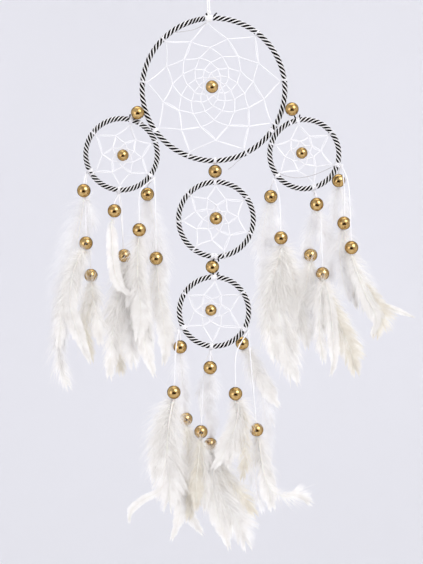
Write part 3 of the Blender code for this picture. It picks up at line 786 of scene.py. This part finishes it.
# ---- feathers: (string, y, half width, downy share, roll in degrees, bare share, finish, shaft points)
featherSpecs = {
    "left_tassel_1": (
        (0, 8, 12, 0.6, 12, 0.03, "pale",
         ((-134.4, -116), (-144, -148.5), (-152.2, -189.6), (-156.3, -230.8), (-159.1, -265.1), (-157, -292))),
        (0, 9, 9, 0.7, -25, 0.05, "pale", ((-131, -118), (-130, -140), (-133, -168), (-138, -196))),
        (0, 7, 13, 1.0, 20, 0.55, "white",
         ((-140, -150), (-154, -215), (-161, -262), (-157.7, -285.7), (-152, -303))),
        (1, -14, 8.5, 0.35, -8, 0.02, "white",
         ((-135.7, -170.4), (-143.3, -189.6), (-146.7, -217.1), (-141.2, -241.8), (-127.5, -276.1))),
        (1, -12, 10, 0.9, 18, 0.1, "white", ((-137, -175), (-147, -200), (-155, -235), (-158, -262))),
        (2, -3, 9, 0.7, 10, 0.03, "white",
         ((-124.8, -202), (-123.4, -217), (-119.3, -237.7), (-116.5, -260))),
        (2, -1, 10, 0.9, -20, 0.05, "cream", ((-127, -204), (-130, -225), (-131, -250), (-126, -276))),
    ),
    "left_tassel_2": (
        (0, -14, 6.8, 0.15, 6, 0.02, "white",
         ((-103.8, -137.5), (-103.2, -162.2), (-101.6, -182.8), (-96.4, -200.6), (-85.4, -211))),
        (1, -3, 16, 0.75, -10, 0.04, "white",
         ((-88.5, -181), (-84.6, -203.4), (-83.2, -230.8), (-84.6, -258.3), (-83, -278))),
        (1, -5, 9, 0.5, 14, 0.1, "white",
         ((-90, -184), (-84, -212), (-76, -238), (-69.8, -265.2), (-62, -291))),
        (1, -2, 11, 0.85, 12, 0.1, "white",
         ((-94, -186), (-98, -212), (-103, -240), (-105, -268), (-107, -293))),
        (2, 8, 12, 1.0, 5, 0.05, "cream", ((-93, -210), (-96, -235), (-99, -262), (-96, -288))),
    ),
    "left_tassel_3": (
        (0, 8, 12, 0.6, -14, 0.03, "pale",
         ((-66.5, -117), (-60.8, -141.6), (-57.5, -164.9), (-56, -196), (-55, -226))),
        (0, 9, 9, 0.6, 25, 0.05, "pale", ((-70, -117), (-72, -136), (-72, -156), (-69, -178))),
        (1, -14, 12, 0.6, 8, 0.03, "white",
         ((-76.7, -156), (-77.5, -175.9), (-76.7, -203.4), (-74, -230.8), (-76.7, -253))),
        (1, -12, 6.9, 0.9, -22, 0.05, "white", ((-77, -156), (-78, -178), (-83, -200), (-88, -222))),
        (2, -3, 9, 0.45, -6, 0.03, "white",
         ((-57.5, -185), (-56.1, -210.2), (-51.6, -237.7), (-49.2, -265.1), (-50.6, -279))),
        (2, -2, 8, 0.8, 24, 0.06, "pale", ((-60, -185), (-64, -210), (-66, -236), (-63, -262))),
    ),
    "right_tassel_1": (
        (0, 8, 10, 0.7, 10, 0.03, "pale", ((58, -119), (52.5, -138), (49.7, -166), (51, -196), (52, -214))),
        (0, 9, 8, 0.7, -20, 0.05, "pale", ((60, -119), (62, -140), (60, -164))),
        (1, -3, 19, 0.85, -6, 0.03, "white", ((70, -164), (70.5, -190), (69, -222), (73, -256), (80, -292))),
        (1, -5, 14, 0.9, 18, 0.06, "white", ((70, -165), (63, -186), (57, -214), (58, -246), (62, -272))),
        (1, -1, 13, 0.9, -20, 0.06, "white", ((71, -165), (80, -186), (86, -212), (86, -244), (82, -270))),
        (1, -4, 9, 0.3, 4, 0.3, "white", ((69, -175), (66, -210), (70, -250), (78, -280), (86, -300))),
    ),
    "right_tassel_2": (
        (0, 8, 13, 0.4, 12, 0.03, "pale", ((109.3, -130), (115, -148), (120.7, -168.7), (121.7, -194))),
        (0, 9, 9, 0.7, -22, 0.05, "pale", ((104, -129), (99, -150), (98, -172), (101, -192))),
        (1, -3, 10, 0.85, -8, 0.03, "white",
         ((98.5, -182), (95.5, -200), (92.6, -222), (95, -243), (96, -262))),
        (1, -1, 10, 0.9, 22, 0.06, "pale", ((101, -182), (104, -206), (104, -232), (101, -254))),
        (2, -14, 6.5, 0.2, 5, 0.02, "white",
         ((115.5, -203), (119, -221), (121.7, -249), (123, -277), (120.5, -291))),
        (2, -12, 13, 0.25, -14, 0.16, "cream",
         ((115, -203), (122, -226), (131.4, -249), (139.7, -267), (144.5, -287))),
        (2, -13, 10, 0.9, 24, 0.05, "white", ((111, -201), (108, -222), (108, -248), (112, -276))),
    ),
    "right_tassel_3": (
        (0, 8, 8, 0.5, 14, 0.04, "pale", ((131.4, -104), (134.2, -114.6), (135, -130), (134, -150))),
        (0, 9, 7, 0.7, -18, 0.05, "pale", ((128, -104), (125, -118), (125, -134))),
        (1, -3, 9, 0.6, -10, 0.03, "pale", ((132.8, -149), (129.7, -168.7), (134.2, -200.5), (140.7, -217))),
        (1, -1, 8, 0.8, 16, 0.05, "white", ((135, -149), (138, -170), (141, -195), (147, -222))),
        (2, -14, 8.5, 0.3, 8, 0.02, "white",
         ((141, -174), (148, -194), (156.4, -214.4), (166, -234), (163.5, -249))),
        (2, -13, 11, 0.2, -12, 0.35, "cream",
         ((143, -175), (152, -198), (162, -216), (172, -232), (167, -250))),
        (2, -12, 3.4, 0.1, 4, 0.4, "white",
         ((145, -178), (158, -208), (169, -219.5), (184, -226), (204, -234))),
    ),
    "lower_tassel_1": (
        (0, 8, 9, 0.7, 12, 0.04, "pale", ((-34.3, -275), (-32.8, -294.6), (-31.4, -321), (-31, -345))),
        (1, -14, 19, 0.55, -6, 0.02, "white",
         ((-42.2, -322), (-45.9, -345.2), (-47.3, -374.1), (-45, -400), (-45.9, -421))),
        (1, -12, 12, 0.9, 20, 0.05, "white", ((-43, -322), (-52, -344), (-58, -372), (-60, -396))),
        (1, -13, 4.5, 0.1, 3, 0.62, "white",
         ((-45, -340), (-50, -385), (-53, -409), (-70.8, -420), (-83.6, -431), (-86, -442))),
        (2, -3, 12, 0.8, 8, 0.03, "cream",
         ((-27.5, -351), (-22.3, -374), (-19.4, -395.8), (-19.8, -417.5), (-24.2, -436))),
        (2, -1, 8, 0.3, -14, 0.3, "white", ((-29, -352), (-32, -385), (-33, -412), (-26, -436), (-13, -455))),
        (2, -4, 7, 0.4, 14, 0.3, "white", ((-29, -352), (-33, -390), (-33, -418), (-36, -442), (-42, -460))),
    ),
    "lower_tassel_2": (
        (0, 8, 9, 0.7, -8, 0.04, "pale", ((-3.9, -296), (-3.9, -316.3), (-2, -340), (-3, -364))),
        (0, 9, 7, 0.8, 22, 0.05, "pale", ((-5, -296), (-10, -315), (-12, -334))),
        (1, -14, 9, 0.7, 8, 0.04, "cream", ((-14, -363), (-15.5, -381.4), (-17.6, -403), (-17.4, -424))),
        (1, -12, 6.9, 0.9, -20, 0.05, "white", ((-13, -363), (-10, -384), (-8, -408), (-9, -430))),
        (2, -3, 18, 0.5, -8, 0.06, "white",
         ((-2, -378), (2.9, -403), (11.6, -424.8), (26, -446.5), (32, -463))),
        (2, -5, 9, 0.25, 10, 0.08, "white", ((-3, -378), (-2, -403), (1.9, -430), (9.6, -452), (15, -468))),
        (2, -1, 12, 0.9, 24, 0.1, "cream", ((-1, -378), (10, -396), (26, -412), (40, -434))),
    ),
    "lower_tassel_3": (
        (0, 8, 8, 0.4, 10, 0.03, "white", ((36.6, -272), (47.1, -294.6), (57.7, -313.4), (66, -325))),
        (0, 9, 10, 0.8, -14, 0.1, "pale", ((36, -274), (47, -301.8), (54.4, -345), (57.3, -388.6))),
        (1, -14, 8.5, 0.35, -6, 0.02, "white",
         ((25, -322), (24, -338), (18, -356), (10.5, -372), (1.5, -386))),
        (1, -12, 10, 0.9, 16, 0.05, "white", ((24, -322), (25, -340), (22, -362), (15, -382))),
        (1, -11, 10, 0.9, -24, 0.1, "cream", ((25, -322), (31, -344), (33, -370), (30, -396))),
        (2, -3, 10, 0.5, 8, 0.03, "white", ((46.7, -362), (49.6, -381.4), (54.4, -403), (59.7, -428))),
        (2, -5, 10, 0.75, -10, 0.42, "white",
         ((47, -362), (51, -392), (58.7, -411.7), (74.2, -418.5), (86.6, -416.6), (97, -423))),
        (2, -1, 9, 0.9, 22, 0.08, "pale", ((45, -362), (43, -384), (44, -408), (50, -432))),
    ),
}
featherFinishes = {"white": whiteFeather, "cream": creamFeather, "pale": paleFeather}
barbSpec = {
    "spacing": 0.34,  # mm along the shaft
    "vane": 0.42,  # half width of a vane's barb, mm
    "down": 0.16,  # half width of a downy barb, mm
    "taper": 0.94,  # share of its width that a barb has lost at its tip
    "sheer": 0.6,  # width of a thin feather's barbs, beside a full one's
    "longest": 45.0,  # a longer barb is cut to this, mm
    "knees": 7,
    "middle": -3.0,  # y of the plane the feathers hang in, mm
    "loft": 21.0,  # furthest a barb strays from that plane, mm
}
companionSpec = {
    "least": 7,  # half width from which a feather has companions, mm
    "bare": 0.2,  # a feather barer than this has none
    "wider": (1.12, 1.5),
    "shorter": (0.86, 0.62),
    "downy": 0.95,
    "drift": 6.0,  # mm
    "behind": 2.5,
}
quillSpec = {"foot": 0.46, "loss": 0.34, "points": 40}  # radius at the bead and what it loses to the tip, mm


def ease(value, low, high):
    t = np.clip((value - low) / (high - low), 0, 1)
    return t * t * (3 - 2 * t)


def unit(v):
    return v / np.linalg.norm(v, axis=-1, keepdims=True)


def featherMesh(name, shaft, half, downy, roll, bare, fine, dice):
    # barbs as narrow curved blades on both sides of the shaft: stiff and lapped in the vane, curled in the down
    line = smoothLine(shaft, 50)
    spine = np.array([tuple(p) for p in line])
    run = unit(np.gradient(spine, axis=0))
    lean = math.radians(roll)
    facing = np.array([math.sin(lean), -math.cos(lean), 0.0])
    across = unit(np.cross(run, facing))
    normal = np.cross(across, run)
    length = np.linalg.norm(np.diff(spine, axis=0), axis=1).sum()
    knees = barbSpec["knees"]
    grown = np.linspace(0, 1, knees)
    rows, faces, maps = [], [], []
    marks = np.linspace(0, 1, len(spine))
    for hand in (-1, 1):
        count = max(30, int(length * (1 - bare) / (barbSpec["spacing"] * mm)))
        u = (np.arange(count) + dice.uniform(0, 1, count)) / count
        s = bare + (1 - bare) * u
        at, forward, out, up = (
            np.stack([np.interp(s, marks, field[:, a]) for a in range(3)], axis=1)
            for field in (spine, run, across, normal)
        )
        forward, out, up = unit(forward), unit(out) * hand, unit(up)
        loose = 1 - ease(u + dice.normal(0, 0.06, count), downy * 0.7 - 0.1, downy + 0.08)
        wide = half * (0.62 + 0.38 * ease(u, 0.0, 0.2)) * (1 - 0.72 * ease(u, 0.62, 1.0))
        clump = 0.07 * np.sin(u * 37 + dice.uniform(0, 6)) + 0.05 * np.sin(u * 83 + dice.uniform(0, 6))
        angle = np.radians(66 - 26 * ease(u, 0.0, 0.6) - 24 * ease(u, 0.75, 1.0)) + clump
        angle = angle + loose * dice.normal(0.05, 0.28, count)
        reach = wide / np.maximum(0.32, np.sin(angle * 0.82)) * (1 + loose * dice.uniform(-0.45, 0.3, count))
        reach = np.minimum(reach, barbSpec["longest"]) * (1 - 0.1 * dice.uniform(0, 1, count))
        bend = 0.34 + loose * dice.normal(0.1, 0.35, count)
        wave = loose * dice.uniform(0.1, 0.55, count)
        phase = dice.uniform(0, 2 * math.pi, count)
        rise = loose * dice.normal(0, 0.34, count) + 0.05
        curl = wave[:, None] * np.sin(phase[:, None] + grown * 5.5) * grown
        theta = angle[:, None] * (1 - bend[:, None] * grown) + curl
        lift = rise[:, None] * (0.4 + grown)
        heading = (
            np.cos(theta)[:, :, None] * forward[:, None, :]
            + np.sin(theta)[:, :, None] * out[:, None, :]
            + lift[:, :, None] * up[:, None, :]
        )
        heading[:, :, 2] -= 0.35 * (loose[:, None] * grown)  # down hangs
        heading = unit(heading)
        step = (reach * mm / (knees - 1))[:, None, None] * heading
        gone = np.concatenate([np.zeros((count, 1, 3)), np.cumsum(step[:, :-1], axis=1)], axis=1)
        path = at[:, None, :] + gone
        twist = dice.normal(0, 0.12, count) + loose * dice.uniform(-1.2, 1.2, count)
        flat = unit(np.cross(heading, up[:, None, :]))
        blade = np.cos(twist)[:, None, None] * flat + np.sin(twist)[:, None, None] * up[:, None, :]
        thick = (barbSpec["vane"] * (1 - loose) + barbSpec["down"] * loose)[:, None] * fine * mm
        thick = thick * (1 - barbSpec["taper"] * grown**1.5)
        left = path + blade * thick[:, :, None]
        right = path - blade * thick[:, :, None]
        start = sum(len(r) for r in rows)
        rows.append(np.stack([left, right], axis=2).reshape(-1, 3))
        first = start + (np.arange(count) * knees * 2)[:, None] + (np.arange(knees - 1) * 2)[None, :]
        faces.append(np.stack([first, first + 1, first + 3, first + 2], axis=2).reshape(-1, 4))
        pair = np.stack([np.repeat(s[:, None], knees, 1), np.repeat(grown[None, :], count, 0)], axis=2)
        maps.append(np.repeat(pair[:, :, None, :], 2, axis=2).reshape(-1, 2))
    spots = np.concatenate(rows)
    middle, loft = barbSpec["middle"] * mm, barbSpec["loft"] * mm
    spots[:, 1] = middle + loft * np.tanh((spots[:, 1] - middle) / loft)  # feathers lie against each other
    return mappedMesh(name, spots, np.concatenate(faces), np.concatenate(maps))


def withCompanions(feathers, dice):
    # each larger feather has two soft ones tied in behind it, shorter and blown to one side
    grown = list(feathers)
    for strand, y, half, _, roll, bare, finish, points in feathers:
        if half < companionSpec["least"] or bare > companionSpec["bare"]:
            continue
        hand = dice.choice((-1, 1))
        for wider, shorter in zip(companionSpec["wider"], companionSpec["shorter"]):
            side = hand * dice.uniform(0.5, 1.0) * companionSpec["drift"]
            count = max(2, int(len(points) * shorter + 0.5))
            moved = [(x + side * (i + 1) / count, z + 2.0) for i, (x, z) in enumerate(points[:count])]
            behind = y + companionSpec["behind"]
            soft = "pale" if finish == "pale" else "white"
            grown.append((strand, behind, half * wider, companionSpec["downy"], -roll * 1.5, 0.02, soft, moved))
            hand = -hand
    return grown


def makeFeathers():
    for number, (tassel, feathers) in enumerate(featherSpecs.items()):
        pairs = withCompanions(feathers, np.random.default_rng(900 + number))
        for index, (strand, y, half, downy, roll, bare, finish, points) in enumerate(pairs):
            dice = np.random.default_rng(1000 + number * 60 + index)
            _, centre, axis = strandLine(tassel, strand)
            foot = centre - axis * 6.2 * mm
            shaft = [foot, foot - axis * 3.0 * mm, *[place(x, z, y) for x, z in points]]
            name = tassel.replace("tassel", "feather") + "_" + str(index + 1)
            fine = barbSpec["sheer"] if finish == "pale" else 1.0
            mesh = featherMesh(name, shaft, half, downy, roll, bare, fine, dice)
            piece = addPiece(name, mesh, featherFinishes[finish], tassel)
            if index == 0:
                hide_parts(tassel)
            count = quillSpec["points"]
            radii = [(quillSpec["foot"] - quillSpec["loss"] * i / (count - 1)) * mm for i in range(count)]
            name = tassel.replace("tassel", "quill") + "_" + str(index + 1)
            addTubes(name, [(smoothLine(shaft, count), radii)], 7, quillHorn, tassel)
    print("feathers grown")


# ---- hanger: a doubled white cord tied round the top of the main hoop
hangSpec = {"thread": 1.3, "tie": 94.0, "knot": 2.4}  # mm and degrees


def makeHanger():
    tie = rimPoint("main", hangSpec["tie"], rimLine("main"))
    top = tie + Vector((0, 0, (wrapSpec["rim"] / 2 + 0.45 + 0.6 + hangSpec["knot"] * 0.7) * mm))
    foot = top + Vector((0, 0, (hangSpec["knot"] + 0.4 + hangSpec["thread"] / 2) * mm))
    apart = Vector((0.95 * mm, 0, 0))
    crown = hangSpec["thread"] / 2 * mm

    def rail(hand):
        return [
            foot + apart * hand,
            Vector((foot.x * 0.75 + 0.0010 * hand, 0, foot.z * 0.75)),
            Vector((foot.x * 0.4 + 0.0013 * hand, 0, foot.z * 0.5)),
            Vector((0.0034 * hand, 0, -0.012)),
            Vector((0.0041 * hand, 0, -0.0045)),
            Vector((0.0026 * hand, 0, -0.0008)),
        ]

    route = smoothLine([*rail(-1), Vector((0, 0, crown)), *reversed(rail(1))], 60)
    loop = addTubes("hanging_cord_loop", [(route, crown)], 10, whiteCotton, "hanger")
    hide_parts("hanging_loop")
    runs = [(coilAround("main", hangSpec["tie"], 4.0, 3.35, 1.25, 0.25, start=math.pi / 2), 0.62 * mm)]
    runs.append((grannyKnot(top, 0.72, 1.3, 40), 0.68 * mm, True))
    for hand in (-1, 1):
        ends = [top + apart * hand * 0.6, top.lerp(foot, 0.5) + apart * hand, foot + apart * hand]
        runs.append((smoothLine(ends, 8), 0.65 * mm))
    knot = addTubes("hanging_cord_knot", runs, 8, whiteCotton, "hanging_knot")
    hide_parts("hanging_knot")
    print("hanger tied")


# ---- ties between the hoops, and the loose ends of the work
def makeTies():
    # the cords' ends are held under a few turns of white thread at each hoop's seam
    for hoop, spec in hoopSpecs.items():
        runs = [(coilAround(hoop, spec["seam"], 4.0, 3.0, 0.95, 0.2), 0.46 * mm)]
        addTubes(hoop + "_rim_seam_whipping", runs, 7, webCotton, hoop + "_hoop")
        ends = []
        for hand, reach in ((-1, 4.5), (1, 3.5)):
            start = rimPoint(hoop, spec["seam"] + hand * 2.2, spec["radius"] - 1.4, -1.6)
            way = rimPoint(hoop, spec["seam"] + hand * 3.4, spec["radius"] + 0.8, -2.4)
            tip = rimPoint(hoop, spec["seam"] + hand * reach, spec["radius"] + 2.4, -1.2)
            ends.append((smoothLine([start, way, tip], 9), [0.75 * mm] * 8 + [0.5 * mm]))
        addTubes(hoop + "_rim_cord_ends", ends, 8, blackCotton, hoop + "_hoop")
    # threads through the link beads
    for node, body, upper, lower in (
        ("main_middle_link_bead", "upper_link", "main", "middle"),
        ("middle_lower_link_bead", "lower_link", "middle", "lower"),
    ):
        centre = boxCentre(node)
        runs = [([centre + Vector((0, 0, h)) * mm for h in (8.4, 4, 0, -4, -8.4)], 0.8 * mm)]
        addTubes(node.replace("_bead", "_thread"), runs, 8, webCotton, body)
        for hoop, angle in ((upper, -90), (lower, 90)):
            x, z = hoopSpecs[hoop]["centre"]
            shift = (centre.x / mm - mainCentre[0] - x) / (hoopSpecs[hoop]["radius"] - 2.7)
            at = angle + math.degrees(shift) * (1 if angle < 0 else -1)
            name = node.replace("_bead", "_") + hoop + "_hitch"
            runs = [(coilAround(hoop, at, 3.0, 3.15, 1.0, 0.3), 0.48 * mm)]
            addTubes(name, runs, 7, webCotton, hoop + "_hoop")
    for hoop, tilt in linkTilts.items():
        node = "main_" + hoop + "_link_bead"
        centre = boxCentre(node)
        axis = tilted(tilt)
        sideX, sideZ = hoopSpecs[hoop]["centre"]
        line = rimLine(hoop)
        legs = [([centre + axis * 7.6 * mm, centre, centre - axis * 7.6 * mm], 0.8 * mm)]
        for hand in (1, -1):
            end = centre + axis * hand * 7.6 * mm
            at = math.degrees(math.atan2(end.z / mm - mainCentre[1] - sideZ, end.x / mm - mainCentre[0] - sideX))
            leg = [end, rimPoint(hoop, at, line + 3.6, -3.6), rimPoint(hoop, at, line, -3.2)]
            legs.append((smoothLine(leg, 8), 0.55 * mm))
            legs.append((coilAround(hoop, at, 2.0, 3.1, 0.95, 0.2), 0.45 * mm))
        addTubes(node.replace("_bead", "_thread"), legs, 8, webCotton, hoop + "_hoop")
        touch = math.degrees(math.atan2(sideZ, sideX))
        turns = [(coilAround("main", touch, 4.0, 3.1, 0.95, 0.2), 0.45 * mm)]
        addTubes("main_" + hoop + "_rim_tie", turns, 8, webCotton, "main_hoop")
    # slack threads left by the tying, white thread coloured grey: painted shade
    rightSlack = ((66.2, -86.0), (76.0, -89.6), (87.6, -91.1), (101.0, -88.8), (112.2, -84.6), (121.5, -80.2))
    mainSlack = ((-41.0, 58.6), (-30.0, 59.6), (-18.0, 62.4), (-7.2, 68.6))
    for hoop, spots in (("right", rightSlack), ("main", mainSlack)):
        route = smoothLine([place(x, z, -1.0) for x, z in spots], 28)
        name = hoop + "_slack_thread"
        piece = addTubes(name, [(route, 0.4 * mm)], 7, paintedShadeCotton, hoop + "_hoop")
    # the tail is white thread coloured grey as well: painted shade
    tailSpots = ((28.8, -71.5), (24.0, -74.8), (19.6, -79.2), (15.0, -82.5))
    tail = smoothLine([place(x, z, -1.2) for x, z in tailSpots], 12)
    addTubes("main_thread_tail", [(tail, 0.34 * mm)], 7, paintedShadeCotton, "main_hoop")
    print("ties and loose ends done")


# ---- studio: a pale sweep all round, a large soft key at the upper right and a soft fill at the left
studio = {
    "floor": -1.45,
    "radius": 4.2,
    "height": 4.5,
    "bend": 1.4,  # m, where the floor turns up
    "steps": 12,
    "around": 96,
    "key": {"place": (1.7, -2.1, 1.4), "size": 2.2, "power": 62},
    "fill": {"place": (-2.3, -2.0, -0.6), "size": 2.2, "power": 16},
    "back": {"place": (0.0, 0.6, 2.6), "size": 3.0, "power": 34},
    "flag": {"place": (0.0, -1.7, -1.15), "radius": 1.3, "tone": "#3A2A1C"},
    "card": {"place": (0.0, 2.4, -0.33), "radius": 2.2, "tone": "#4A4642"},
}


def makeStudio():
    bend, steps = studio["bend"], studio["steps"]
    outline = [(0.02, 0.0), (studio["radius"] - bend, 0.0)]
    for i in range(1, steps + 1):
        a = math.pi / 2 * i / steps
        outline.append((studio["radius"] - bend + bend * math.sin(a), bend * (1 - math.cos(a))))
    outline.append((studio["radius"], studio["height"]))
    around = studio["around"]
    rows = []
    for k in range(around):
        a = 2 * math.pi * k / around
        rows += [(r * math.cos(a), r * math.sin(a), studio["floor"] + h) for r, h in outline]
    count = len(outline)
    faces = []
    for k in range(around):
        one, two = k * count, (k + 1) % around * count
        faces += [(one + i, two + i, two + i + 1, one + i + 1) for i in range(count - 1)]
    faces.append([k * count for k in range(around)])
    mesh = bpy.data.meshes.new("studio_sweep")
    mesh.from_pydata(rows, [], faces)
    mesh.polygons.foreach_set("use_smooth", [True] * len(mesh.polygons))
    mesh.materials.append(studioPaper("matt_studio_paper", "#E9E9ED", "#EFEFF3"))
    sweep = bpy.data.objects.new("studio_sweep", mesh)
    bpy.context.scene.collection.objects.link(sweep)
    target = Vector((0, 0, -0.33))
    for name in ("key", "fill", "back"):
        spec = studio[name]
        data = bpy.data.lights.new("studio_" + name, "AREA")
        data.shape = "DISK"
        data.size = spec["size"]
        data.energy = spec["power"]
        data.color = (1.0, 0.985, 0.96) if name == "key" else (0.975, 0.98, 1.0)
        lamp = bpy.data.objects.new("studio_" + name, data)
        lamp.location = spec["place"]
        lamp.rotation_euler = (target - lamp.location).to_track_quat("-Z", "Y").to_euler()
        lamp.visible_camera = False
        bpy.context.scene.collection.objects.link(lamp)
    # a dark brown flag under the camera and a grey card behind, which only gloss sees
    for name in ("flag", "card"):
        spec = studio[name]
        turns = [2 * math.pi * k / 40 for k in range(40)]
        rows = [(spec["radius"] * math.cos(a), spec["radius"] * math.sin(a), 0) for a in turns]
        mesh = bpy.data.meshes.new("studio_" + name)
        mesh.from_pydata(rows, [], [tuple(range(40))])
        mesh.materials.append(studioPaper("felt_" + name, spec["tone"], spec["tone"]))
        board = bpy.data.objects.new("studio_" + name, mesh)
        board.location = spec["place"]
        board.rotation_euler = (target - board.location).to_track_quat("Z", "Y").to_euler()
        board.visible_camera = False
        board.visible_diffuse = False
        board.visible_shadow = False
        board.visible_transmission = False
        bpy.context.scene.collection.objects.link(board)
    world = bpy.data.worlds.new("studio_air")
    world.use_nodes = True
    sky = world.node_tree.nodes["Background"]
    sky.inputs["Color"].default_value = linear("#F4F4F5")
    sky.inputs["Strength"].default_value = 0.79
    bpy.context.scene.world = world
    bpy.context.scene.view_settings.view_transform = "Standard"
    print("studio lit")


makeHanger()
makeTassels()
makeTies()
makeHoops()
makeWebs()
makeHoopBeads()
makeFeathers()
makeStudio()
